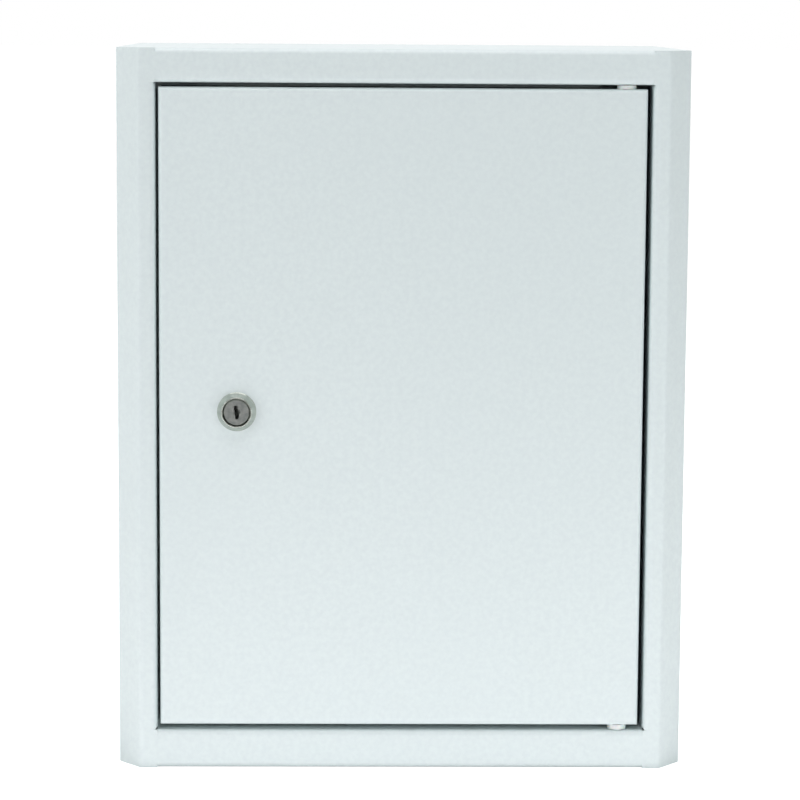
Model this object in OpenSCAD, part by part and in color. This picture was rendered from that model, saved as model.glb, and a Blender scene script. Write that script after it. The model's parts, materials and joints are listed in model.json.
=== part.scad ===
// Steel wall enclosure: a folded cabinet with bevelled front edges and an inset, key-locked door.
// Millimetres. X to the right, Y towards the wall, Z up. The origin is the centre of the back face.

/* [Cabinet] */
// Width of the cabinet over its side walls
cab_w = 300; // [260:5:400]
// Height of the cabinet over its top and bottom panels
cab_h = 380; // [320:5:500]
// Depth of the cabinet from the wall to the front face
cab_d = 210; // [150:5:260]
// Thickness of the cabinet sheet
sheet_t = 1.5; // [1.2:0.1:1.8]
// Outside radius of the folds in the cabinet sheet
fold_r = 3; // [2.4:0.1:3.4]
// Sideways width of the bevel along each front edge
bevel_w = 12; // [9:0.1:14]
// Depth of the bevel along each front edge
bevel_d = 14.3; // [10:0.1:18]
// Width of the flat stile beside the door opening
stile_w = 9; // [8.5:0.1:14]
// Height of the front rail above the door opening
top_rail_h = 17.7; // [14:0.1:24]
// Height of the front rail below the door opening
bottom_rail_h = 20.4; // [16:0.1:28]
// Width of the relief cut where a stile's fold ends at a corner of the opening
relief_w = 1; // [0.6:0.1:1.4]
// Height of that relief cut along the fold
relief_h = 2; // [1:0.1:3]

/* [Door] */
// Thickness of the door sheet
door_t = 1.5; // [1.2:0.1:1.8]
// Depth of the door pan from its face to its back edge
door_depth = 16; // [14:0.5:20]
// Outside radius of the folds in the door sheet
door_fold_r = 3; // [2.4:0.1:3.2]
// Gap between the door and the opening on the lock side
lock_side_gap = 1.6; // [1.2:0.1:2.5]
// Gap between the door and the opening on the hinge side
hinge_side_gap = 2.8; // [2:0.1:3.5]
// Gap between the door and the opening at the top
top_gap = 2.3; // [1.8:0.05:3.5]
// Gap between the door and the opening at the bottom
bottom_gap = 2.9; // [1.8:0.05:3.5]
// Width of the inward hem around the back of the door pan
hem_w = 10; // [8:0.5:12]
// Width of that hem on the hinge side, kept narrow to leave the hinge pin in reach
hinge_hem_w = 7; // [5:0.5:7.5]

/* [Door stop and seal] */
// Width of the stop flange that the door closes against
stop_w = 12; // [11:0.5:16]
// Distance from the hinge side of the opening to the end of the stop flanges
stop_end = 26; // [24:0.5:40]
// Width of the foam seal
seal_w = 8; // [6:0.5:9]
// Thickness of the closed seal
seal_t = 4; // [3:0.1:5]
// Gap between the closed door's hem and the seal
seal_gap = 0.3; // [0.2:0.1:0.5]

/* [Hinge] */
// Distance from the door's hinge-side edge to the hinge axis
hinge_in = 10.7; // [9.5:0.1:12]
// Distance from the front face back to the hinge axis
hinge_back = 6.5; // [6.4:0.1:7.5]
// Diameter of the hinge pins
pin_d = 5; // [4:0.1:5.2]
// Radial running clearance of the hinge pins
pin_fit = 0.06; // [0.04:0.01:0.09]
// Diameter of the bush flange that fills the gap above and below the door
bush_flange_d = 10; // [9:0.1:10.4]
// Wall of the bush sleeve around the pin
bush_wall = 0.7; // [0.6:0.1:0.8]
// Length of the bush sleeve inside the door
bush_sleeve = 3; // [2:0.5:5]
// Running clearance between a bush flange and the frame
bush_gap = 0.25; // [0.15:0.05:0.4]
// Length of pin that stands past the sheet it locks into
pin_reach = 3; // [2:0.5:5]
// Travel of the spring-loaded upper pin
pin_travel = 8; // [7.5:0.5:10]
// Length of the pin spring with the pin engaged
spring_len = 28; // [26:1:36]
// Wire diameter of the pin spring
spring_wire = 0.8; // [0.6:0.1:0.9]
// Number of turns in the pin spring
spring_turns = 8; // [6:1:10]
// Length of the pin's bent finger grip
pin_grip = 20; // [14:1:28]

/* [Lock] */
// Distance from the door's lock-side edge to the lock axis
lock_in = 40.6; // [36:0.1:46]
// Height of the lock axis above the middle of the cabinet
lock_z = 1; // [-20:1:20]
// Diameter of the lock's conical head
lock_head_d = 20.5; // [20:0.1:24]
// Height of the head in front of the door
lock_head_h = 4.2; // [3.4:0.1:6]
// Diameter of the lock barrel
lock_barrel_d = 18; // [17.5:0.1:18.5]
// Distance across the two flats of the barrel
lock_flats = 16.4; // [16:0.1:17]
// Diameter of the turning core
lock_core_d = 14.7; // [13.6:0.1:15]
// Radial running clearance of the core in the barrel
core_fit = 0.05; // [0.03:0.01:0.08]
// Depth of the core's face below the rim of the head
core_recess = 0.8; // [0.4:0.1:1.4]
// Reach of the cam from the lock axis to its tip
cam_reach = 38; // [37:0.5:42]
// Thickness of the cam
cam_t = 2.5; // [2:0.1:3.5]
// Clearance between the cam and the back of the stop flange
cam_gap = 0.8; // [0.5:0.1:1.5]

/* [Mounting plate] */
// Gap between the mounting plate and each side wall
plate_side_gap = 33.5; // [30:0.5:50]
// Gap between the mounting plate and the top and bottom panels
plate_end_gap = 28.5; // [26:0.5:60]
// Thickness of the mounting plate
plate_t = 2; // [1.5:0.1:3]
// Distance from the inside of the back wall to the mounting plate
plate_stand = 13.5; // [11:0.5:30]
// Distance from the plate's edges to its studs
plate_stud_in = 15; // [12:0.5:25]

/* [Wall fixing] */
// Diameter of the four wall-fixing holes
wall_hole_d = 9; // [6:0.5:10]
// Distance from the cabinet's sides to the wall-fixing holes
wall_hole_side = 20; // [16:0.5:22]
// Distance from the cabinet's top and bottom to the wall-fixing holes
wall_hole_end = 18; // [14:0.5:20]

/* [Gland plate] */
// Width of the cable opening in the bottom panel
gland_w = 180; // [120:5:200]
// Depth of the cable opening in the bottom panel
gland_d = 80; // [50:5:90]
// Distance from the back face to the middle of the cable opening
gland_back = 95; // [90:1:105]
// Overlap of the gland plate past each edge of the opening
gland_lap = 16; // [14:0.5:20]
// Thickness of the gland plate
gland_t = 2; // [1.5:0.1:3]
// Thickness of the gland plate's gasket
gland_seal_t = 2; // [1.5:0.1:3]

/* [Studs and nuts] */
// Diameter of the mounting plate studs
plate_stud_d = 8; // [6:1:8]
// Diameter of the gland plate studs
gland_stud_d = 6; // [4:1:6]
// Diameter of the two earth studs
earth_stud_d = 6; // [5:1:8]
// Length of an earth stud past its sheet
earth_stud_len = 16; // [15:1:22]
// Length of bare thread left past a tightened nut
thread_spare = 3; // [1:0.5:5]
// Radial clearance of a nut or washer on its stud
nut_fit = 0.05; // [0.03:0.01:0.09]

/* [Hidden] */
$fn = 64;
fold_steps = 8;
eps = 1;

// Door opening and door, from the cabinet's sizes and the gaps
half_w = cab_w / 2;
half_h = cab_h / 2;
front = -cab_d;
flat_x = half_w - bevel_w;
open_x = flat_x - stile_w;
open_top = half_h - top_rail_h;
open_bottom = -half_h + bottom_rail_h;
stop_face = door_depth + seal_gap + seal_t;
stop_back = stop_face + sheet_t;
door_left = -open_x + lock_side_gap;
door_right = open_x - hinge_side_gap;
door_top = open_top - top_gap;
door_bottom = open_bottom + bottom_gap;
door_w = door_right - door_left;
door_h = door_top - door_bottom;
door_x = (door_left + door_right) / 2;
door_z = (door_top + door_bottom) / 2;

// Hinge
hinge_x = door_right - hinge_in;
hinge_y = front + hinge_back;
pin_r = pin_d / 2;
bush_bore_r = pin_r + pin_fit;
bush_sleeve_r = bush_bore_r + bush_wall;
bush_seat_r = bush_sleeve_r + 0.05;
pin_head_r = hinge_back - fold_r - 0.1;
spring_r = pin_r + 0.3 + spring_wire / 2;
clip_t = 0.8;
clip_neck_r = pin_r - 0.5;
clip_r = spring_r + 0.9;
clip_gap = 0.2;
clip_z = door_top - door_t - bush_sleeve - clip_gap - clip_t;
bracket_t = 1.5;
bracket_top = clip_z - spring_len;
bracket_web = 20;
grip_bend_r = 5;
grip_z = bracket_top - bracket_t - pin_travel - 5;

// Lock
lock_x = door_left + lock_in;
lock_r = lock_barrel_d / 2;
core_r = lock_core_d / 2;
core_bore_r = core_r + core_fit;
head_r = lock_head_d / 2;
lock_washer_t = 0.8;
lock_nut_t = 4.5;
lock_nut_af = 23;
cam_front = stop_back + cam_gap;
stop_washer_t = 1;
core_float = 0.15;
barrel_len = cam_front - stop_washer_t - core_float;
core_flat = 8;
cam_r = 8;
cam_tip_r = 6.5;
cam_bolt_d = 5;
cam_washer_t = 1.2;
cam_washer_r = 6;

// Inside fittings
wall_x = half_w - wall_hole_side;
wall_z = half_h - wall_hole_end;
plate_w = cab_w - 2 * (sheet_t + plate_side_gap);
plate_h = cab_h - 2 * (sheet_t + plate_end_gap);
plate_back = sheet_t + plate_stand;
plate_stud_x = plate_w / 2 - plate_stud_in;
plate_stud_z = plate_h / 2 - plate_stud_in;
gland_stud_x = gland_w / 2 + gland_lap / 2;
gland_stud_y = gland_d / 2 + gland_lap / 2;
gland_seat = -half_h + sheet_t;
earth_x = half_w - sheet_t - plate_side_gap / 2;
earth_z = -0.375 * plate_h;
door_earth_x = hinge_x - 22;
door_earth_z = door_bottom + 30;

paint = [0.86, 0.89, 0.89];
zinc = [0.72, 0.73, 0.74];
nylon = [0.93, 0.93, 0.90];
foam = [0.14, 0.15, 0.15];

// ---- Shared shapes ----

function unit(v) = v / norm(v);
function left_of(v) = [-v[1], v[0]];

// One side of the fold at point i of a path: side 0 runs on the path, side 1 one thickness to its left
function fold(path, i, r, t, side) =
  let (
    d1 = unit(path[i] - path[i - 1]),
    d2 = unit(path[i + 1] - path[i]),
    way = sign(cross(d1, d2)),
    path_r = way > 0 ? r : r - t,
    centre = path[i] + way * path_r * (left_of(d1) + left_of(d2)) / (1 + d1 * d2),
    start = -way * left_of(d1),
    a = atan2(start[1], start[0]),
    turn = way * acos(d1 * d2),
    side_r = path_r - side * way * t
  )
  [for (k = [0:fold_steps]) centre + side_r * [cos(a + turn * k / fold_steps), sin(a + turn * k / fold_steps)]];

// One side of a folded strip
function strip_side(path, r, t, side) =
  let (
    last = len(path) - 1,
    n1 = left_of(unit(path[1] - path[0])),
    n2 = left_of(unit(path[last] - path[last - 1]))
  )
  concat(
    [path[0] + side * t * n1],
    [for (i = [1:last - 1]) each fold(path, i, r, t, side)],
    [path[last] + side * t * n2]
  );

function reversed(points) = [for (i = [len(points) - 1:-1:0]) points[i]];

// Cross-section of a strip folded along a path, with its thickness on the path's left
module folded_strip(path, r, t) {
  polygon(concat(strip_side(path, r, t, 0), reversed(strip_side(path, r, t, 1))));
}

function arc(centre, r, a0, a1, steps) =
  [for (k = [0:steps]) centre + r * [cos(a0 + (a1 - a0) * k / steps), sin(a0 + (a1 - a0) * k / steps)]];

// Rectangle with round corners, centred
module round_rect(w, h, r) {
  x = w / 2 - r;
  y = h / 2 - r;
  polygon(concat(
    arc([x, y], r, 0, 90, fold_steps),
    arc([-x, y], r, 90, 180, fold_steps),
    arc([-x, -y], r, 180, 270, fold_steps),
    arc([x, -y], r, 270, 360, fold_steps)
  ));
}

// Extrudes a (y, z) cross-section along X, centred on x = 0
module along_x(length) {
  rotate([90, 0, 90]) translate([0, 0, -length / 2]) linear_extrude(length) children();
}

// Box given by its two corners
module box(a, b) {
  translate(a) cube(b - a);
}

// Upright tube, or a hexagonal nut where sides is 6
module ring(r_out, r_in, h, sides = 64) {
  difference() {
    cylinder(r = r_out, h = h, $fn = sides);
    translate([0, 0, -eps]) cylinder(r = r_in, h = h + 2 * eps);
  }
}

// Hexagonal nut with chamfered corners
module nut(across_flats, bore_r, h) {
  chamfer = across_flats * 0.06;
  corner_r = across_flats / sqrt(3);
  difference() {
    intersection() {
      cylinder(r = corner_r, h = h, $fn = 6);
      union() {
        cylinder(r1 = across_flats / 2, r2 = across_flats / 2 + 2 * chamfer, h = chamfer);
        translate([0, 0, chamfer]) cylinder(r = across_flats / 2 + 2 * chamfer, h = h - 2 * chamfer);
        translate([0, 0, h - chamfer])
          cylinder(r1 = across_flats / 2 + 2 * chamfer, r2 = across_flats / 2, h = chamfer);
      }
    }
    translate([0, 0, -eps]) cylinder(r = bore_r, h = h + 2 * eps);
  }
}

// Threaded stud with a pointed lead-in
module stud(d, length) {
  lead = d * 0.12;
  cylinder(r = d / 2, h = length - lead);
  translate([0, 0, length - lead]) cylinder(r1 = d / 2, r2 = d / 2 - lead, h = lead);
}

function nut_h(d) = 0.8 * d;
function nut_af(d) = d * 1.25 + 3;
function washer_r(d) = d + 0.4;
function washer_t(d) = 0.2 * d;

// ---- Cabinet ----

// Path of the shell above and below the opening: stile, bevel, side, back, side, bevel, stile
frame_path = [
  [open_x, front],
  [flat_x, front],
  [half_w, front + bevel_d],
  [half_w, 0],
  [-half_w, 0],
  [-half_w, front + bevel_d],
  [-flat_x, front],
  [-open_x, front]
];
// Path beside the opening, where the stiles fold back and the lock side carries the stop flange
shell_path = concat(
  [[open_x, front + stop_back]],
  frame_path,
  [[-open_x, front + stop_face], [-open_x + stop_w, front + stop_face]]
);

// One sheet: back, sides, bevels, stiles and returns, with the stop flange on the lock side
module cabinet_shell() {
  color(paint)
    difference() {
      union() {
        shell_part(frame_path, -half_h + sheet_t, open_bottom);
        shell_part(shell_path, open_bottom, open_top);
        shell_part(frame_path, open_top, half_h - sheet_t);
      }
      for (x = [-open_x, open_x], z = [open_bottom, open_top]) fold_relief(x, z);
      for (x = [-wall_x, wall_x], z = [-wall_z, wall_z])
        translate([x, eps, z]) rotate([90, 0, 0]) cylinder(d = wall_hole_d, h = sheet_t + 2 * eps);
    }
}

module shell_part(path, z0, z1) {
  translate([0, 0, z0]) linear_extrude(z1 - z0) folded_strip(path, fold_r, sheet_t);
}

// Slanted cut through the end of a stile's fold, towards the middle of the stile's height
module fold_relief(x, z) {
  translate([x, front + 2 * fold_r, z]) rotate([90, 0, 0]) linear_extrude(2 * fold_r + eps)
    polygon([
      [0, 0],
      [sign(x) * relief_w, 0],
      [0, -sign(z) * relief_h],
      [-sign(x) * eps, -sign(z) * relief_h],
      [-sign(x) * eps, 0]
    ]);
}

// Outline of the end panels: the outside of the shell, closed behind the front rail's fold
function panel_outline() =
  concat(
    strip_side(frame_path, fold_r, sheet_t, 0),
    [[-open_x, front + 2 * fold_r], [open_x, front + 2 * fold_r]]
  );

// End panel with its front rail, return and stop flange, drawn at the top of the cabinet
module end_panel(rail_h) {
  rail_z = half_h - rail_h;
  path = [
    [front + 3 * fold_r, half_h],
    [front, half_h],
    [front, rail_z],
    [front + stop_face, rail_z],
    [front + stop_face, rail_z - stop_w]
  ];
  difference() {
    union() {
      translate([0, 0, half_h - sheet_t]) linear_extrude(sheet_t) polygon(panel_outline());
      along_x(2 * open_x) folded_strip(path, fold_r, sheet_t);
    }
    box(
      [-half_w, front, rail_z - stop_w - eps],
      [-open_x + stop_w, front + stop_back + fold_r, rail_z]
    );
    box(
      [open_x - stop_end, front, rail_z - stop_w - eps],
      [half_w, front + stop_back + fold_r, rail_z]
    );
    translate([hinge_x, hinge_y, rail_z - eps]) cylinder(r = bush_bore_r, h = sheet_t + 2 * eps);
  }
}

// Top panel with the front rail above the door
module top_panel() {
  color(paint) end_panel(top_rail_h);
}

// Bottom panel with the front rail below the door and the cable opening
module bottom_panel() {
  color(paint)
    difference() {
      mirror([0, 0, 1]) end_panel(bottom_rail_h);
      translate([0, -gland_back, -half_h - eps]) linear_extrude(sheet_t + 2 * eps)
        round_rect(gland_w, gland_d, 4);
    }
}

// Foam seal in a U on the three stop flanges
module door_seal() {
  out_x = -open_x + (stop_w - seal_w) / 2;
  end_x = open_x - stop_end;
  top = open_top - (stop_w - seal_w) / 2;
  bottom = open_bottom + (stop_w - seal_w) / 2;
  color(foam)
    translate([0, front + stop_face, 0]) rotate([90, 0, 0]) linear_extrude(seal_t)
      polygon([
        [end_x, top], [out_x, top], [out_x, bottom], [end_x, bottom],
        [end_x, bottom + seal_w], [out_x + seal_w, bottom + seal_w],
        [out_x + seal_w, top - seal_w], [end_x, top - seal_w]
      ]);
}

// Fixed pin, riveted through the return of the bottom rail
module lower_hinge_pin() {
  head_h = 1.4;
  length = bottom_gap + door_t + bush_sleeve + pin_reach;
  color(zinc)
    translate([hinge_x, hinge_y, open_bottom]) {
      cylinder(r = pin_r, h = length - 1);
      translate([0, 0, length - 1]) cylinder(r1 = pin_r, r2 = pin_r - 1, h = 1);
      translate([0, 0, -sheet_t]) cylinder(r = pin_r, h = sheet_t);
      translate([0, 0, -sheet_t - head_h]) cylinder(r = pin_head_r, h = head_h);
    }
}

// ---- Mounting plate ----

module at_plate_studs() {
  for (x = [-plate_stud_x, plate_stud_x], z = [-plate_stud_z, plate_stud_z])
    translate([x, -sheet_t, z]) rotate([90, 0, 0]) children();
}

// Four studs welded to the back wall
module plate_studs() {
  d = plate_stud_d;
  length = plate_stand + plate_t + washer_t(d) + nut_h(d) + thread_spare;
  color(zinc) at_plate_studs() {
    stud(d, length);
    cylinder(r = d / 2 + 1.2, h = 1);
  }
}

// A nut behind and a nut in front of the plate on each stud
module plate_nuts() {
  d = plate_stud_d;
  color(zinc) at_plate_studs() {
    translate([0, 0, plate_stand - nut_h(d)]) nut(nut_af(d), d / 2 + nut_fit, nut_h(d));
    translate([0, 0, plate_stand + plate_t + washer_t(d)]) nut(nut_af(d), d / 2 + nut_fit, nut_h(d));
  }
}

// Washers under the front nuts
module plate_washers() {
  d = plate_stud_d;
  color(zinc) at_plate_studs()
    translate([0, 0, plate_stand + plate_t]) ring(washer_r(d), d / 2 + nut_fit, washer_t(d));
}

// Galvanised plate with cut corners
module mounting_plate() {
  cut = 12;
  x = plate_w / 2;
  z = plate_h / 2;
  color([0.70, 0.72, 0.73])
    difference() {
      translate([0, -plate_back, 0]) rotate([90, 0, 0]) linear_extrude(plate_t)
        polygon([
          [x - cut, z], [-x + cut, z], [-x, z - cut], [-x, -z + cut],
          [-x + cut, -z], [x - cut, -z], [x, -z + cut], [x, z - cut]
        ]);
      at_plate_studs() cylinder(r = plate_stud_d / 2 + 0.5, h = plate_stand + plate_t + eps);
    }
}

// ---- Gland plate ----

module at_gland_studs() {
  for (x = [-gland_stud_x, 0, gland_stud_x], y = [-gland_stud_y, gland_stud_y])
    translate([x, -gland_back + y, gland_seat]) children();
}

// Six studs welded to the inside of the bottom panel
module gland_studs() {
  color(zinc) at_gland_studs()
    stud(gland_stud_d, gland_seal_t + gland_t + nut_h(gland_stud_d) + thread_spare);
}

// Gasket frame round the cable opening
module gland_seal() {
  rim = 2;
  color(foam)
    difference() {
      translate([0, -gland_back, gland_seat]) linear_extrude(gland_seal_t)
        round_rect(gland_w + 2 * gland_lap, gland_d + 2 * gland_lap, 6);
      translate([0, -gland_back, gland_seat - eps]) linear_extrude(gland_seal_t + 2 * eps)
        round_rect(gland_w + 2 * rim, gland_d + 2 * rim, 4);
      at_gland_studs()
        translate([0, 0, -eps]) cylinder(r = gland_stud_d / 2 + 0.4, h = gland_seal_t + 2 * eps);
    }
}

// Blank gland plate, to be drilled for cable glands
module gland_plate() {
  color(paint)
    difference() {
      translate([0, -gland_back, gland_seat + gland_seal_t]) linear_extrude(gland_t)
        round_rect(gland_w + 2 * gland_lap, gland_d + 2 * gland_lap, 6);
      at_gland_studs()
        cylinder(r = gland_stud_d / 2 + 0.4, h = gland_seal_t + gland_t + eps);
    }
}

// Flange nuts on the gland plate studs
module gland_nuts() {
  d = gland_stud_d;
  flange_h = 1;
  color(zinc) at_gland_studs()
    translate([0, 0, gland_seal_t + gland_t]) {
      ring(washer_r(d), d / 2 + nut_fit, flange_h);
      translate([0, 0, flange_h]) ring(nut_af(d) / sqrt(3), d / 2 + nut_fit, nut_h(d) - flange_h, 6);
    }
}

// ---- Earth studs ----

module at_cabinet_earth() {
  translate([earth_x, -sheet_t, earth_z]) rotate([90, 0, 0]) children();
}

module at_door_earth() {
  translate([door_earth_x, front + door_t, door_earth_z]) rotate([-90, 0, 0]) children();
}

module earth_washers() {
  d = earth_stud_d;
  for (k = [0, 1])
    translate([0, 0, k * (washer_t(d) + nut_h(d))]) ring(washer_r(d), d / 2 + nut_fit, washer_t(d));
}

module earth_nuts() {
  d = earth_stud_d;
  for (k = [0, 1])
    translate([0, 0, washer_t(d) + k * (washer_t(d) + nut_h(d))])
      nut(nut_af(d), d / 2 + nut_fit, nut_h(d));
}

module cabinet_earth_stud() {
  color("peru") at_cabinet_earth() stud(earth_stud_d, earth_stud_len);
}

module cabinet_earth_washers() {
  color(zinc) at_cabinet_earth() earth_washers();
}

module cabinet_earth_nuts() {
  color(zinc) at_cabinet_earth() earth_nuts();
}

module door_earth_stud() {
  color("peru") at_door_earth() stud(earth_stud_d, earth_stud_len);
}

module door_earth_washers() {
  color(zinc) at_door_earth() earth_washers();
}

module door_earth_nuts() {
  color(zinc) at_door_earth() earth_nuts();
}

// ---- Door ----

// Block with folded, mitred edges on all four sides, inset from the door's outside
module folded_block(inset, r) {
  w = door_w - 2 * inset;
  h = door_h - 2 * inset;
  d = door_depth - 2 * inset;
  intersection() {
    translate([door_x, front + door_depth / 2, door_z - h / 2]) linear_extrude(h) round_rect(w, d, r);
    translate([door_x, front + door_depth / 2, door_z]) along_x(w) round_rect(d, h, r);
  }
}

// Door pan: face, four returns and the hem behind them
module door_panel() {
  color(paint)
    difference() {
      folded_block(0, door_fold_r);
      folded_block(door_t, door_fold_r - door_t);
      box(
        [door_left + hem_w, front + door_depth / 2, door_bottom + hem_w],
        [door_right - hinge_hem_w, front + door_depth + eps, door_top - hem_w]
      );
      lock_cutout();
      translate([hinge_x, hinge_y, door_bottom - eps]) cylinder(r = bush_seat_r, h = door_t + 2 * eps);
      translate([hinge_x, hinge_y, door_top - door_t - eps])
        cylinder(r = bush_seat_r, h = door_t + 2 * eps);
    }
}

// Hole with two flats that keeps the lock from turning
module lock_cutout() {
  clear = 0.1;
  at_lock()
    intersection() {
      translate([0, 0, -eps]) cylinder(r = lock_r + clear, h = door_t + 2 * eps);
      translate([-lock_flats / 2 - clear, -lock_r - eps, -eps])
        cube([lock_flats + 2 * clear, 2 * (lock_r + eps), door_t + 2 * eps]);
    }
}

// Flanged nylon bush: the flange fills the gap, the sleeve lines the hole in the door
module bush(gap) {
  ring(bush_flange_d / 2, bush_bore_r, gap - bush_gap);
  translate([0, 0, -door_t - bush_sleeve]) ring(bush_sleeve_r, bush_bore_r, door_t + bush_sleeve);
}

module upper_hinge_bush() {
  color(nylon) translate([hinge_x, hinge_y, door_top]) bush(top_gap);
}

module lower_hinge_bush() {
  color(nylon) translate([hinge_x, hinge_y, door_bottom]) mirror([0, 0, 1]) bush(bottom_gap);
}

// Angle bracket on the door's hinge-side return that carries the spring and guides the pin
module hinge_bracket() {
  web_x = door_right - door_t;
  ear_x = hinge_x - clip_r - 1;
  ear_front = door_fold_r + 0.2;
  ear_back = door_depth - door_fold_r - 0.2;
  path = [
    [web_x, bracket_top + bracket_web],
    [web_x, bracket_top - bracket_t],
    [ear_x, bracket_top - bracket_t]
  ];
  color(zinc)
    difference() {
      translate([0, front + ear_back, 0]) rotate([90, 0, 0]) linear_extrude(ear_back - ear_front)
        polygon(concat(
          reversed(strip_side(reversed(path), 2.5, bracket_t, 0)),
          strip_side(reversed(path), 2.5, bracket_t, 1)
        ));
      translate([hinge_x, hinge_y, bracket_top - bracket_t - eps])
        cylinder(r = bush_bore_r, h = bracket_t + 2 * eps);
    }
}

// Ring of points round the spring wire at turn number q
function wire_ring(q, r, z) =
  [for (k = [0:7]) let (c = r + spring_wire / 2 * cos(45 * k))
    [c * cos(360 * q), c * sin(360 * q), z + spring_wire / 2 * sin(45 * k)]];

// Compression spring between the bracket and the pin's clip
module pin_spring() {
  per_turn = 14;
  rings = spring_turns * per_turn;
  rise = spring_len - spring_wire - 0.1;
  points = [for (i = [0:rings])
    each wire_ring(i / per_turn, spring_r, spring_wire / 2 + 0.05 + rise * i / rings)];
  sides = [for (i = [0:rings - 1], k = [0:7])
    [i * 8 + k, i * 8 + (k + 1) % 8, (i + 1) * 8 + (k + 1) % 8, (i + 1) * 8 + k]];
  caps = [[for (k = [7:-1:0]) k], [for (k = [0:7]) rings * 8 + k]];
  color("silver") translate([hinge_x, hinge_y, bracket_top]) polyhedron(points, concat(sides, caps));
}

// ---- Upper hinge pin ----

// Sliding pin with a neck for its clip and a bent finger grip
module upper_hinge_pin() {
  top_z = open_top + sheet_t + pin_reach;
  tip = 1;
  color(zinc)
    translate([hinge_x, hinge_y, 0]) {
      translate([0, 0, top_z - tip]) cylinder(r1 = pin_r, r2 = pin_r - tip, h = tip);
      translate([0, 0, clip_z + clip_t]) cylinder(r = pin_r, h = top_z - tip - clip_z - clip_t);
      translate([0, 0, clip_z - eps]) cylinder(r = clip_neck_r, h = clip_t + 2 * eps);
      translate([0, 0, grip_z + grip_bend_r]) cylinder(r = pin_r, h = clip_z - grip_z - grip_bend_r);
      translate([-grip_bend_r, 0, grip_z + grip_bend_r]) rotate([90, 0, 0])
        rotate_extrude(angle = -90) translate([grip_bend_r, 0]) circle(r = pin_r);
      translate([-grip_bend_r - pin_grip, 0, grip_z]) rotate([0, 90, 0])
        cylinder(r = pin_r, h = pin_grip);
    }
}

// Retaining clip in the pin's neck, on top of the spring
module pin_clip() {
  mouth = 1.6 * clip_neck_r;
  color("dimgray")
    translate([hinge_x, hinge_y, clip_z])
      difference() {
        ring(clip_r, clip_neck_r + 0.05, clip_t);
        translate([-mouth / 2, 0, -eps]) cube([mouth, clip_r + eps, clip_t + 2 * eps]);
      }
}

// ---- Lock ----

// Places a piece on the lock axis, its own Z running back from the door's face
module at_lock() {
  translate([lock_x, front, lock_z]) rotate([-90, 0, 0]) children();
}

// Conical head and flatted barrel, bored for the core
module lock_housing() {
  rim_r = core_bore_r + 0.5;
  edge_h = 0.7;
  color("silver") at_lock()
    difference() {
      rotate_extrude()
        polygon([
          [core_bore_r, -lock_head_h], [rim_r, -lock_head_h], [head_r - 0.3, -edge_h],
          [head_r, -edge_h + 0.3], [head_r, 0], [lock_r, 0], [lock_r, barrel_len],
          [core_bore_r, barrel_len]
        ]);
      for (s = [-1, 1])
        translate([s > 0 ? lock_flats / 2 : -lock_flats / 2 - lock_r, -lock_r - eps, 0])
          cube([lock_r, 2 * (lock_r + eps), barrel_len + eps]);
    }
}

module lock_washer() {
  color(zinc) at_lock() translate([0, 0, door_t]) ring(lock_nut_af / 2 + 1, lock_r + nut_fit, lock_washer_t);
}

module lock_nut() {
  color(zinc) at_lock()
    translate([0, 0, door_t + lock_washer_t]) nut(lock_nut_af, lock_r + nut_fit, lock_nut_t);
}

// Warded outline of the keyway
module keyway() {
  w = 1.4;
  h = 7.2;
  polygon([
    [-w / 2, h / 2], [-w / 2, -h * 0.12], [-w * 0.95, -h * 0.12], [-w * 0.95, -h / 2],
    [w * 0.55, -h / 2], [w * 0.55, 0], [w * 0.9, h * 0.12], [w * 0.9, h * 0.34], [w / 2, h / 2]
  ]);
}

// Turning core with its keyway, and the square tail that drives the cam
module lock_core() {
  face = -lock_head_h + core_recess;
  chamfer = 0.9;
  rear = barrel_len + core_float;
  tail = stop_washer_t + cam_t - 0.3;
  key_depth = 16;
  color([0.45, 0.46, 0.45]) at_lock()
    difference() {
      union() {
        translate([0, 0, face]) cylinder(r1 = core_r - chamfer, r2 = core_r, h = chamfer);
        translate([0, 0, face + chamfer]) cylinder(r = core_r, h = rear - face - chamfer);
        translate([-core_flat / 2, -core_flat / 2, rear - eps]) cube([core_flat, core_flat, tail + eps]);
      }
      translate([0, 0, face - eps]) linear_extrude(key_depth + eps) keyway();
      translate([0, 0, face - eps]) cylinder(r1 = 2.2 + eps, r2 = 0.5, h = 1.7 + eps);
      translate([0, 0, rear + tail - 7]) cylinder(r = cam_bolt_d / 2 + nut_fit, h = 7 + eps);
    }
}

// Square-holed plate that fits over the core's tail
module tail_hole(h) {
  side = core_flat + 2 * nut_fit;
  translate([-side / 2, -side / 2, -eps]) cube([side, side, h + 2 * eps]);
}

// Disc that keeps the core in its barrel
module stop_washer() {
  color(zinc) at_lock()
    translate([0, 0, barrel_len + core_float])
      difference() {
        cylinder(r = lock_r - 0.3, h = stop_washer_t);
        tail_hole(stop_washer_t);
      }
}

// Cam, hanging down with the lock open
module lock_cam() {
  reach = cam_reach - cam_tip_r;
  a = asin((cam_r - cam_tip_r) / reach);
  color(zinc) at_lock()
    translate([0, 0, cam_front])
      difference() {
        linear_extrude(cam_t)
          polygon(concat(
            arc([0, 0], cam_r, 180 - a, 360 + a, 3 * fold_steps),
            arc([0, reach], cam_tip_r, a, 180 - a, 2 * fold_steps)
          ));
        tail_hole(cam_t);
      }
}

module cam_washer() {
  color(zinc) at_lock()
    translate([0, 0, cam_front + cam_t]) ring(cam_washer_r, cam_bolt_d / 2 + nut_fit, cam_washer_t);
}

// Hexagonal bolt that holds the cam on the core's tail
module cam_bolt() {
  shank = cam_washer_t + 5;
  head_z = cam_front + cam_t + cam_washer_t;
  color(zinc) at_lock() {
    translate([0, 0, head_z]) cylinder(r = 8 / sqrt(3), h = 3.5, $fn = 6);
    translate([0, 0, head_z - shank]) cylinder(r = cam_bolt_d / 2, h = shank);
  }
}

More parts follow.
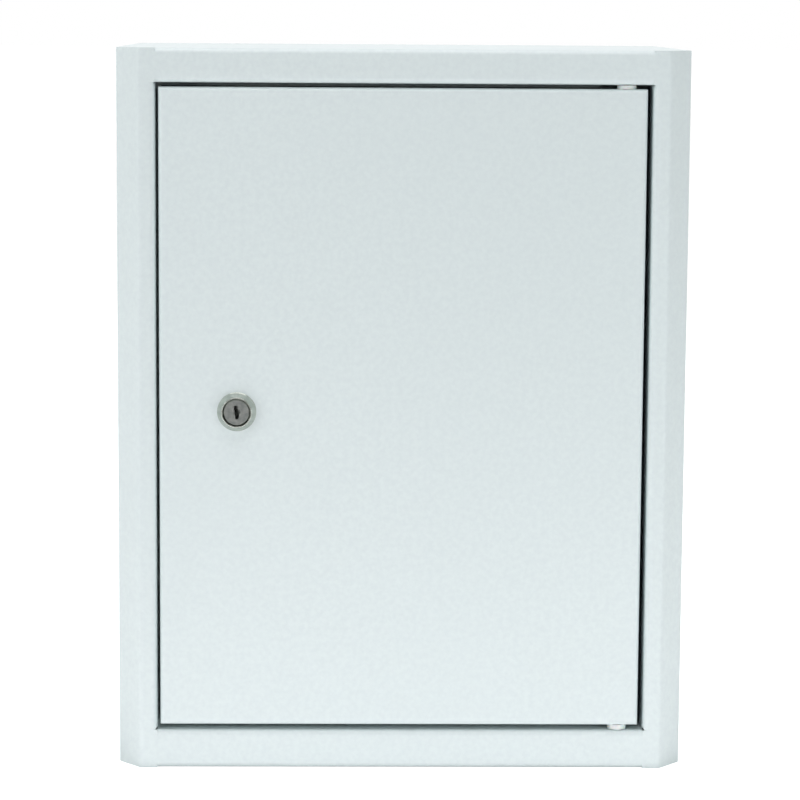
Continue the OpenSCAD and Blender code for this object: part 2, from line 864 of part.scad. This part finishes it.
cabinet_shell();
top_panel();
bottom_panel();
door_seal();
lower_hinge_pin();
plate_studs();
plate_nuts();
plate_washers();
mounting_plate();
gland_studs();
gland_seal();
gland_plate();
gland_nuts();
cabinet_earth_stud();
cabinet_earth_washers();
cabinet_earth_nuts();
door_panel();
upper_hinge_bush();
lower_hinge_bush();
hinge_bracket();
pin_spring();
door_earth_stud();
door_earth_washers();
door_earth_nuts();
lock_housing();
lock_washer();
lock_nut();
upper_hinge_pin();
pin_clip();
lock_core();
stop_washer();
lock_cam();
cam_washer();
cam_bolt();
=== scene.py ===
# %% [markdown]
# # A steel wall enclosure
#
# This lesson dresses a small powder-coated wall enclosure. The construction comes as a fixed
# frame of solids that already have their true size and place, and every piece below is made
# on that frame. All lengths are in metres, X runs to the right, Y towards the wall, Z up.

# %% Load the frame
import json
import math

import bmesh
import bpy
from mathutils import Matrix, Vector


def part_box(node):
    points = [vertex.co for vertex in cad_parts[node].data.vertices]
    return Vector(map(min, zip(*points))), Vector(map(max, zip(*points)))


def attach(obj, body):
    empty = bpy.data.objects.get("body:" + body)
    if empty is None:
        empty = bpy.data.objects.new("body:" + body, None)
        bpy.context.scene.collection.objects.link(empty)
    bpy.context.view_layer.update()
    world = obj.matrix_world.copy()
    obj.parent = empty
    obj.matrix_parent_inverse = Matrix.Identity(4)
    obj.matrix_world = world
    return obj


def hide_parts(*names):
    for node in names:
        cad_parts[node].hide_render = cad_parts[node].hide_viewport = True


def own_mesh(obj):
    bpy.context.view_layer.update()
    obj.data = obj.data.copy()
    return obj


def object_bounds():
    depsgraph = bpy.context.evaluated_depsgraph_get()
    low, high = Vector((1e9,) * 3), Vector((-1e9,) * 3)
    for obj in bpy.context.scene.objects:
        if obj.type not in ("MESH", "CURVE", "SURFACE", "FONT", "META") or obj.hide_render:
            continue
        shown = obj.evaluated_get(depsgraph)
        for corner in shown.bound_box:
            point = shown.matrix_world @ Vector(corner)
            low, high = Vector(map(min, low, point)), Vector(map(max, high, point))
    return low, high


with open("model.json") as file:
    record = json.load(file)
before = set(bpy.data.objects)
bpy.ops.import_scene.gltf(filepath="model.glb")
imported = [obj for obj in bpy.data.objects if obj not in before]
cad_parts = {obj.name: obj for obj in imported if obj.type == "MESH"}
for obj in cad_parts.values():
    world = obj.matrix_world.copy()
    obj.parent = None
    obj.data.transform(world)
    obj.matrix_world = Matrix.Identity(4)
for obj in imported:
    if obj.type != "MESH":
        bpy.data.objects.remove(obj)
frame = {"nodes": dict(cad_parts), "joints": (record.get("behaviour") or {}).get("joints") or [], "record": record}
cad_low, cad_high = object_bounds()
MM = 0.001
BODY_OF = {n: b for b, members in frame["record"]["behaviour"]["bodies"].items() for n in members}
SLOT_OF = {s["node"]: s["material_slot"] for s in frame["record"]["subparts"]}
print("frame:", len(BODY_OF), "nodes, box", [round(v, 4) for v in cad_low], [round(v, 4) for v in cad_high])

# %% [markdown]
# ## Places taken from the frame
#
# The lock and the hinge are the two places that several pieces share. The lock's axis is read
# from its joint in the frame and the door's face from the door's solid, so nothing below
# repeats a measured position.

# %% Lock place and door face
JOINTS = {j["name"]: j for j in frame["joints"]}
lock_place = Vector(JOINTS["lock_turn"]["pos_m"])
door_low, door_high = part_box("door_panel")
door_face = door_low.y

# %% [markdown]
# ## Camera
#
# A long lens a little above the cabinet and slightly to its left looks almost square at the
# door. The small turn, tilt and roll are those of a camera on a stand that was set by eye.
# Turning the camera by 90 degrees about X first makes it look along +Y with Z up.

# %% Camera
scene = bpy.context.scene
CAMERA_LENS = 132.94
CAMERA_PLACE = Vector((-0.03207, -1.74318, 0.20968))
CAMERA_YAW, CAMERA_PITCH, CAMERA_ROLL = -1.1473, -7.5087, -0.3860

camera_data = bpy.data.cameras.new("camera")
camera_data.lens = CAMERA_LENS
camera_data.sensor_width = 36.0
camera_data.clip_start = 0.05
camera = bpy.data.objects.new("camera", camera_data)
scene.collection.objects.link(camera)
camera.matrix_world = (
    Matrix.Translation(CAMERA_PLACE)
    @ Matrix.Rotation(math.radians(CAMERA_YAW), 4, "Z")
    @ Matrix.Rotation(math.radians(CAMERA_PITCH), 4, "X")
    @ Matrix.Rotation(math.radians(CAMERA_ROLL), 4, "Y")
    @ Matrix.Rotation(math.radians(90), 4, "X")
)
scene.camera = camera
scene.view_settings.view_transform = "Standard"
print("camera", round((CAMERA_PLACE - lock_place).length, 3), "m from the lock")

# %% [markdown]
# ## A short hand for material nodes
#
# A finish is a small graph of nodes. These helpers only save typing: one adds a node and sets
# its sockets or links them, one starts a material, and one mixes two colours by a pattern.
# Every pattern reads Object coordinates, which are true metres here, so a grain of 2 mm is
# written as 2 mm.

# %% Node helpers
def srgb(r, g, b):
    """A colour given as it looks on a screen, 0 to 255, made linear."""
    def linear(c):
        c = c / 255
        return c / 12.92 if c <= 0.04045 else ((c + 0.055) / 1.055) ** 2.4
    return (linear(r), linear(g), linear(b), 1.0)


class Finish:
    """A material under construction: its tree, its Principled shader and its coordinates."""

    def __init__(self, name, colour, roughness, metallic=0.0, **sockets):
        self.material = bpy.data.materials.new(name)
        self.material.use_nodes = True
        self.tree = self.material.node_tree
        self.shader = self.tree.nodes["Principled BSDF"]
        self.set(self.shader, {"Base Color": colour, "Roughness": roughness, "Metallic": metallic})
        self.set(self.shader, sockets)
        self.place = self.add("ShaderNodeTexCoord").outputs["Object"]

    def set(self, node, sockets):
        for key, value in sockets.items():
            socket = node.inputs[key]
            if isinstance(value, bpy.types.NodeSocket):
                self.tree.links.new(value, socket)
            else:
                socket.default_value = value

    def add(self, kind, settings=None, **sockets):
        node = self.tree.nodes.new(kind)
        for key, value in (settings or {}).items():
            setattr(node, key, value)
        self.set(node, {key.replace("_", " "): value for key, value in sockets.items()})
        return node

    def noise(self, grain, detail=2.0, rough=0.5, at=None):
        """Noise whose blotches are about `grain` metres across."""
        node = self.add("ShaderNodeTexNoise", Scale=0.6 / grain, Detail=detail, Roughness=rough)
        self.set(node, {"Vector": at or self.place})
        return node.outputs["Fac"]

    def math(self, operation, a, b=0.0):
        node = self.add("ShaderNodeMath", {"operation": operation})
        self.set(node, {0: a, 1: b})
        return node.outputs[0]

    def fit(self, value, low, high, to_low, to_high):
        """Maps a pattern from low..high to to_low..to_high."""
        node = self.add("ShaderNodeMapRange", From_Min=low, From_Max=high, To_Min=to_low, To_Max=to_high)
        self.set(node, {"Value": value})
        return node.outputs["Result"]

    def mix(self, pattern, colour_a, colour_b):
        node = self.add("ShaderNodeMix", {"data_type": "RGBA"})
        self.set(node, {0: pattern, 6: colour_a, 7: colour_b})
        return node.outputs[2]

    def around(self, centre, turn=(0, 0, 0), scale=(1, 1, 1)):
        """Coordinates measured from a piece's own centre."""
        moved = self.add("ShaderNodeMapping", Location=tuple(-v for v in centre), Vector=self.place)
        turned = self.add("ShaderNodeMapping", Rotation=turn, Scale=scale, Vector=moved.outputs[0])
        return turned.outputs[0]

    def bump(self, height, depth, strength=1.0, under=None):
        node = self.add("ShaderNodeBump", Strength=strength, Distance=depth, Height=height)
        if under:
            self.set(node, {"Normal": under})
        return node.outputs["Normal"]


FINISHES = {}
print("a mid grey is", [round(v, 3) for v in srgb(128, 128, 128)])

# %% [markdown]
# ## Powder coat
#
# The cabinet and the door are sprayed with polyester powder and baked. The film is pale grey
# with a touch of green-blue and has a fine orange-peel skin: bumps about 2 mm across with
# smaller ones on top, only hundredths of a millimetre high. A satin roughness spreads the
# lamps, and here and there a grain of dust is caught in the film. Two noises make the skin and
# a third varies the gloss. The hollows of the skin are painted in the darker colour, which is
# painted shade, and a slow cloud noise varies the tone at random. A Voronoi pattern gives each
# cell of 18 mm a random number, and the few cells with a high one get a faint speck at their
# centre.

# %% Powder coat
def powder_coat(name, colour, shade):
    f = Finish(name, colour, 0.42)
    peel = f.noise(1.7 * MM, 1.0)
    fine = f.noise(0.8 * MM, 1.0)
    skin = f.math("ADD", f.math("MULTIPLY", peel, 0.75), f.math("MULTIPLY", fine, 0.25))
    cloud = f.noise(120 * MM, 1.0)
    cells = f.add("ShaderNodeTexVoronoi", Scale=55.0, Vector=f.place)
    chance = f.add("ShaderNodeSeparateColor")
    f.set(chance, {"Color": cells.outputs["Color"]})
    dot = f.fit(cells.outputs["Distance"], 0.012, 0.026, 1.0, 0.0)
    speck = f.math("MULTIPLY", dot, f.fit(chance.outputs[0], 0.95, 0.97, 0.0, 0.5))
    # Painted shade: the hollows of the peel get the darker colour; the cloud below is random tone.
    tint = f.mix(f.fit(skin, 0.35, 0.65, 0.0, 1.0), shade, colour)
    tint = f.mix(f.fit(cloud, 0.3, 0.7, 0.0, 0.3), tint, shade)
    f.set(f.shader, {
        "Base Color": f.mix(speck, tint, srgb(150, 152, 146)),
        "Roughness": f.fit(f.noise(3.0 * MM, 2.0), 0.3, 0.7, 0.36, 0.48),
        "Normal": f.bump(skin, 0.14 * MM, 1.0),
    })
    return f.material


PAINT = srgb(219, 231, 231)
# The darker colour paints shade into the peel's hollows and also serves as a random tone.
PAINT_PEEL_SHADE_AND_TONE = srgb(214, 226, 227)
FINISHES["cabinet_paint"] = powder_coat("cabinet_paint", PAINT, PAINT_PEEL_SHADE_AND_TONE)
FINISHES["door_paint"] = powder_coat("door_paint", PAINT, PAINT_PEEL_SHADE_AND_TONE)
print("powder coat:", [round(v, 3) for v in PAINT])

# %% [markdown]
# ## Bare and plated metals
#
# Chrome is almost a mirror. Zinc plate on nuts and pins is softer and slightly cloudy. The
# mounting plate is galvanised, and the zinc froze on it in large flat crystals, which a
# Voronoi pattern splits into cells of slightly different grey and gloss. The lock core is dull
# nickel with fine turning rings, centred on the lock by a Mapping node.

# %% Metals
def plated(name, colour, dark, roughness, cloud=4 * MM):
    f = Finish(name, colour, roughness, metallic=1.0)
    blotch = f.noise(cloud, 3.0)
    grain = f.noise(0.35 * MM, 2.0)
    f.set(f.shader, {
        "Base Color": f.mix(f.fit(blotch, 0.35, 0.65, 0.0, 1.0), colour, dark),
        "Roughness": f.fit(grain, 0.3, 0.7, roughness * 0.85, roughness * 1.2),
        "Normal": f.bump(grain, 0.01 * MM, 0.5),
    })
    return f.material


def galvanised(name):
    f = Finish(name, srgb(186, 190, 193), 0.4, metallic=1.0)
    bent = f.add("ShaderNodeMix", {"data_type": "VECTOR"}, Factor=0.012)
    f.set(bent, {4: f.place, 5: f.add("ShaderNodeTexNoise", Scale=60.0, Vector=f.place).outputs["Color"]})
    crystal = f.add("ShaderNodeTexVoronoi", Scale=210.0)
    f.set(crystal, {"Vector": bent.outputs[1]})
    shade = f.add("ShaderNodeSeparateColor")
    f.set(shade, {"Color": crystal.outputs["Color"]})
    f.set(f.shader, {
        "Base Color": f.mix(shade.outputs[0], srgb(180, 184, 187), srgb(197, 200, 202)),
        "Roughness": f.fit(shade.outputs[1], 0.0, 1.0, 0.40, 0.50),
        "Normal": f.bump(f.noise(0.8 * MM, 2.0), 0.015 * MM, 0.5),
    })
    return f.material


def turned_nickel(name, centre):
    f = Finish(name, srgb(150, 154, 151), 0.34, metallic=1.0)
    ring = f.add("ShaderNodeTexWave", {"wave_type": "RINGS", "rings_direction": "Y"}, Scale=900.0, Distortion=1.5)
    f.set(ring, {"Vector": f.around(centre), "Detail Scale": 2.0})
    f.set(f.shader, {
        "Base Color": f.mix(f.fit(f.noise(1.5 * MM, 3.0), 0.3, 0.7, 0.0, 1.0), srgb(128, 133, 131), srgb(158, 161, 157)),
        "Roughness": f.fit(f.noise(0.5 * MM, 2.0), 0.3, 0.7, 0.28, 0.42),
        "Normal": f.bump(ring.outputs["Fac"], 0.004 * MM, 0.6),
    })
    return f.material


FINISHES["lock_chrome"] = plated("lock_chrome", srgb(190, 195, 188), srgb(172, 178, 170), 0.09, 2 * MM)
FINISHES["zinc_plated"] = plated("zinc_plated", srgb(214, 216, 214), srgb(190, 193, 192), 0.3)
FINISHES["spring_steel"] = plated("spring_steel", srgb(122, 123, 124), srgb(88, 89, 90), 0.33, 1 * MM)
FINISHES["copper_stud"] = plated("copper_stud", srgb(214, 150, 112), srgb(184, 118, 84), 0.3, 2 * MM)
FINISHES["galvanised_sheet"] = galvanised("galvanised_sheet")
FINISHES["core_nickel"] = turned_nickel("core_nickel", lock_place)
print("metals:", len(FINISHES), "finishes so far")

# %% [markdown]
# ## Nylon and foam
#
# The hinge bushes are natural nylon, milky and slightly translucent, so some light goes under
# the surface. The seals are closed-cell foam: black, matt, and pitted by the cells that were
# cut open, which a Voronoi distance gives as small round dents. The colour is painted darker at
# the centre of each dent, which is painted shade.

# %% Nylon and foam
def nylon(name):
    f = Finish(name, srgb(224, 230, 228), 0.45, **{"Subsurface Weight": 0.25, "Subsurface Scale": 1.5 * MM})
    f.set(f.shader, {
        "Base Color": f.mix(f.noise(1.2 * MM, 2.0), srgb(214, 222, 220), srgb(232, 237, 235)),
        "Normal": f.bump(f.noise(0.4 * MM, 2.0), 0.01 * MM, 0.6),
    })
    return f.material


def foam(name):
    f = Finish(name, srgb(42, 44, 44), 0.85)
    cell = f.add("ShaderNodeTexVoronoi", {"feature": "F1"}, Scale=1400.0, Vector=f.place)
    f.set(f.shader, {
        # Painted shade: the colour is darkest at the centre of each dent.
        "Base Color": f.mix(f.fit(cell.outputs["Distance"], 0.1, 0.6, 0.0, 1.0), srgb(26, 27, 27), srgb(52, 54, 54)),
        "Roughness": f.fit(f.noise(1.0 * MM, 2.0), 0.3, 0.7, 0.78, 0.95),
        "Normal": f.bump(cell.outputs["Distance"], 0.2 * MM, 0.7),
    })
    return f.material


FINISHES["bush_nylon"] = nylon("bush_nylon")
FINISHES["seal_foam"] = foam("seal_foam")
print("finishes:", sorted(FINISHES))

# %% [markdown]
# ## Dressing a solid of the frame
#
# Most pieces are sheet metal or turned parts whose solid already has the right shape. A copy
# of its mesh is welded, its coplanar triangles are joined into whole faces, and edges flatter
# than 25 degrees are shaded smooth, which turns the faceted folds into round ones. A narrow
# bevel on the sharp edges stands for the film of paint or plating that rounds them, and
# catches the light along every edge. The copy then replaces the node it came from.

# %% Dress a node
def finish_piece(piece, node, body=None, slot=None):
    """Gives a finished piece the material of its record slot and its body, and hides the node it stands for."""
    slot = slot or SLOT_OF[node]
    piece.data.materials.clear()
    piece.data.materials.append(FINISHES[slot])
    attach(piece, body or BODY_OF[node])
    if node:
        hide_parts(node)
    return piece


def dress(node, edge=0.25 * MM, smooth_below=25.0, segments=2):
    source = frame["nodes"][node].data
    bm = bmesh.new()
    bm.from_mesh(source)
    bmesh.ops.remove_doubles(bm, verts=bm.verts, dist=0.002 * MM)
    bmesh.ops.dissolve_limit(
        bm, angle_limit=math.radians(0.4), verts=bm.verts, edges=bm.edges, use_dissolve_boundaries=False
    )
    mesh = bpy.data.meshes.new(node + "_dressed")
    bm.to_mesh(mesh)
    bm.free()
    mesh.shade_smooth()
    mesh.set_sharp_from_angle(angle=math.radians(smooth_below))
    piece = bpy.data.objects.new(node + "_dressed", mesh)
    scene.collection.objects.link(piece)
    if edge:
        soft = piece.modifiers.new("soft_edges", "BEVEL")
        soft.width = edge
        soft.segments = segments
        soft.limit_method = "ANGLE"
        soft.angle_limit = math.radians(40)
        soft.harden_normals = True
        soft.use_clamp_overlap = True
    return finish_piece(piece, node)


SHEET_PIECES = ("cabinet_shell", "top_panel", "bottom_panel", "door_panel", "gland_plate", "mounting_plate", "hinge_bracket")
for node in SHEET_PIECES:
    dress(node)
print("dressed sheet pieces:", len(SHEET_PIECES))

# %% [markdown]
# Small hardware is dressed in the same way with a finer edge, because the corners of a
# pressed nut or a turned pin are sharper than those of a painted sheet.

# %% Dress the hardware
HARDWARE = (
    "lower_hinge_pin", "plate_nuts", "plate_washers", "gland_nuts",
    "cabinet_earth_washers", "cabinet_earth_nuts", "door_earth_washers", "door_earth_nuts",
    "upper_hinge_bush", "lower_hinge_bush", "lock_washer", "lock_nut", "upper_hinge_pin", "pin_clip",
    "lock_core", "stop_washer", "lock_cam", "cam_washer", "cam_bolt",
    "plate_studs", "gland_studs", "cabinet_earth_stud", "door_earth_stud", "pin_spring", "lock_housing",
)
for node in HARDWARE:
    dress(node, edge=0.12 * MM)
for node in ("door_seal", "gland_seal"):
    dress(node, edge=0.8 * MM, segments=4)
print("dressed hardware:", len(HARDWARE))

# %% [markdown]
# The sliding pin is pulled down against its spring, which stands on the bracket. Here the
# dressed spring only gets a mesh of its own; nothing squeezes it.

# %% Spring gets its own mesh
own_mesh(bpy.data.objects["pin_spring_dressed"])

# %% [markdown]
# ## Floor and room
#
# The cabinet stands on a pale floor in a white room. The floor is a plain diffuse white that
# keeps the soft shadow, with a glow that only the camera and mirrors see, so the distance
# doesn't turn grey. The room behind the camera is dim, as a real studio is: chrome and nickel
# need something dark to reflect, or they look like white paint. A Map Range on the direction
# of a ray does that for the world, and one on the place does it for the floor.

# %% Floor and room
AMBIENT = 0.30
FLOOR_WHITE = 0.82
FLOOR_GLOW = 0.80
DIM_GLOW = 0.05
ROOM_DIM = 0.16


class Light:
    """A floor or world shader under construction."""

    def __init__(self, tree):
        self.tree = tree

    def add(self, kind, **settings):
        node = self.tree.nodes.new(kind)
        for key, value in settings.items():
            setattr(node, key, value)
        return node

    def join(self, value, socket):
        if isinstance(value, bpy.types.NodeSocket):
            self.tree.links.new(value, socket)
        else:
            socket.default_value = value

    def math(self, operation, a, b):
        node = self.add("ShaderNodeMath", operation=operation)
        self.join(a, node.inputs[0])
        self.join(b, node.inputs[1])
        return node.outputs[0]

    def fade(self, value, start, end, low, high):
        """low before start, high after end, with a smooth change between them."""
        node = self.add("ShaderNodeMapRange", interpolation_type="SMOOTHSTEP")
        for key, v in zip(("Value", "From Min", "From Max", "To Min", "To Max"), (value, start, end, low, high)):
            self.join(v, node.inputs[key])
        return node.outputs["Result"]

    def part(self, vector, axis):
        node = self.add("ShaderNodeSeparateXYZ")
        self.join(vector, node.inputs[0])
        return node.outputs[axis]

    def seen(self, lit, shown, mirrored):
        """What rays that light things get, what the camera gets, and what mirrors and glass get."""
        path = self.add("ShaderNodeLightPath")
        mirror_ray = self.math("MAXIMUM", path.outputs["Is Glossy Ray"], path.outputs["Is Transmission Ray"])
        level = self.fade(mirror_ray, 0.0, 1.0, lit, mirrored)
        return self.fade(path.outputs["Is Camera Ray"], 0.0, 1.0, level, shown)


bm = bmesh.new()
bmesh.ops.create_grid(bm, x_segments=1, y_segments=1, size=30.0)
bmesh.ops.translate(bm, verts=bm.verts, vec=(0, 0, cad_low.z))
floor_mesh = bpy.data.meshes.new("floor")
bm.to_mesh(floor_mesh)
bm.free()
floor = bpy.data.objects.new("floor", floor_mesh)
scene.collection.objects.link(floor)
floor_material = bpy.data.materials.new("floor_white")
floor_material.use_nodes = True
floor_material.node_tree.nodes.clear()
light = Light(floor_material.node_tree)
diffuse = light.add("ShaderNodeBsdfDiffuse")
diffuse.inputs["Color"].default_value = (FLOOR_WHITE, FLOOR_WHITE, FLOOR_WHITE, 1)
depth = light.part(light.add("ShaderNodeTexCoord").outputs["Object"], "Y")
near_glow = light.fade(depth, -1.1, -0.6, DIM_GLOW, FLOOR_GLOW)
glow = light.add("ShaderNodeEmission")
light.join(light.seen(0.0, FLOOR_GLOW, near_glow), glow.inputs["Strength"])
both = light.add("ShaderNodeAddShader")
light.join(diffuse.outputs[0], both.inputs[0])
light.join(glow.outputs[0], both.inputs[1])
light.join(both.outputs[0], light.add("ShaderNodeOutputMaterial").inputs["Surface"])
floor.data.materials.append(floor_material)

world = bpy.data.worlds.new("white_room")
world.use_nodes = True
scene.world = world
light = Light(world.node_tree)
towards = light.add("ShaderNodeTexCoord").outputs["Generated"]
behind = light.fade(light.part(towards, "Y"), -0.75, -0.2, ROOM_DIM, 1.0)
light.join(light.seen(AMBIENT, 1.0, behind), world.node_tree.nodes["Background"].inputs["Strength"])
world.node_tree.nodes["Background"].inputs["Color"].default_value = (1, 1, 1, 1)
print("stage set at z =", round(cad_low.z, 4))

# %% [markdown]
# ## Lamps
#
# Large soft lamps leave hardly any shadow. One stands front left, one hangs overhead and one
# straight above the cabinet lights the top face and the folds that face up. Two more stand
# behind, for the back and the side walls. A wide sheet of light just over the floor in front
# stands for the bright table, and makes the lower part of the door brighter than the upper
# part. The lamps are hidden from the camera but not from mirrors.

# %% Lamps
def lamp(name, place, target, size, power, colour=(1, 1, 1)):
    data = bpy.data.lights.new(name, "AREA")
    data.shape = "RECTANGLE"
    data.size, data.size_y = size
    data.energy = power
    data.color = colour
    obj = bpy.data.objects.new(name, data)
    scene.collection.objects.link(obj)
    obj.location = place
    obj.visible_camera = False
    obj.rotation_euler = (Vector(target) - Vector(place)).to_track_quat("-Z", "Y").to_euler()
    return obj


TABLE_Z = cad_low.z + 0.2 * MM
LAMPS = (
    ("overhead_lamp", (0.0, -0.5, 1.6), (0.0, -0.1, 0.0), (1.6, 1.2), 16.2, (1.03, 0.98, 1.0)),
    ("front_lamp", (0.0, -2.2, 0.7), (0.0, -0.2, 0.0), (1.2, 1.2), 1.5, (1.0, 1.0, 1.0)),
    ("left_lamp", (-1.5, -1.1, 0.5), (0.0, -0.2, 0.0), (0.8, 1.2), 8.6, (1.0, 1.0, 1.0)),
    ("low_right_lamp", (0.9, -0.8, -0.1), (0.1, -0.21, -0.15), (0.5, 0.3), 2.0, (0.97, 1.02, 1.01)),
    ("top_lamp", (0.0, 0.1, 1.3), (0.0, 0.1, 0.0), (1.2, 0.6), 1.0, (1.0, 1.0, 1.0)),
    ("left_back_lamp", (-1.3, 1.5, 0.6), (0.0, -0.1, 0.0), (0.9, 0.9), 7.0, (1.0, 1.0, 1.0)),
    ("right_back_lamp", (1.2, 1.6, 0.6), (0.0, -0.1, 0.0), (0.9, 0.9), 11.0, (1.0, 1.0, 1.0)),
    ("table_light", (0.0, -0.462, TABLE_Z), (0.0, -0.462, 1.0), (1.6, 0.5), 1.27, (1.06, 0.97, 1.0)),
)
for name, place, target, size, power, colour in LAMPS:
    lamp(name, place, target, size, power, colour)
print("lamps:", len(LAMPS))
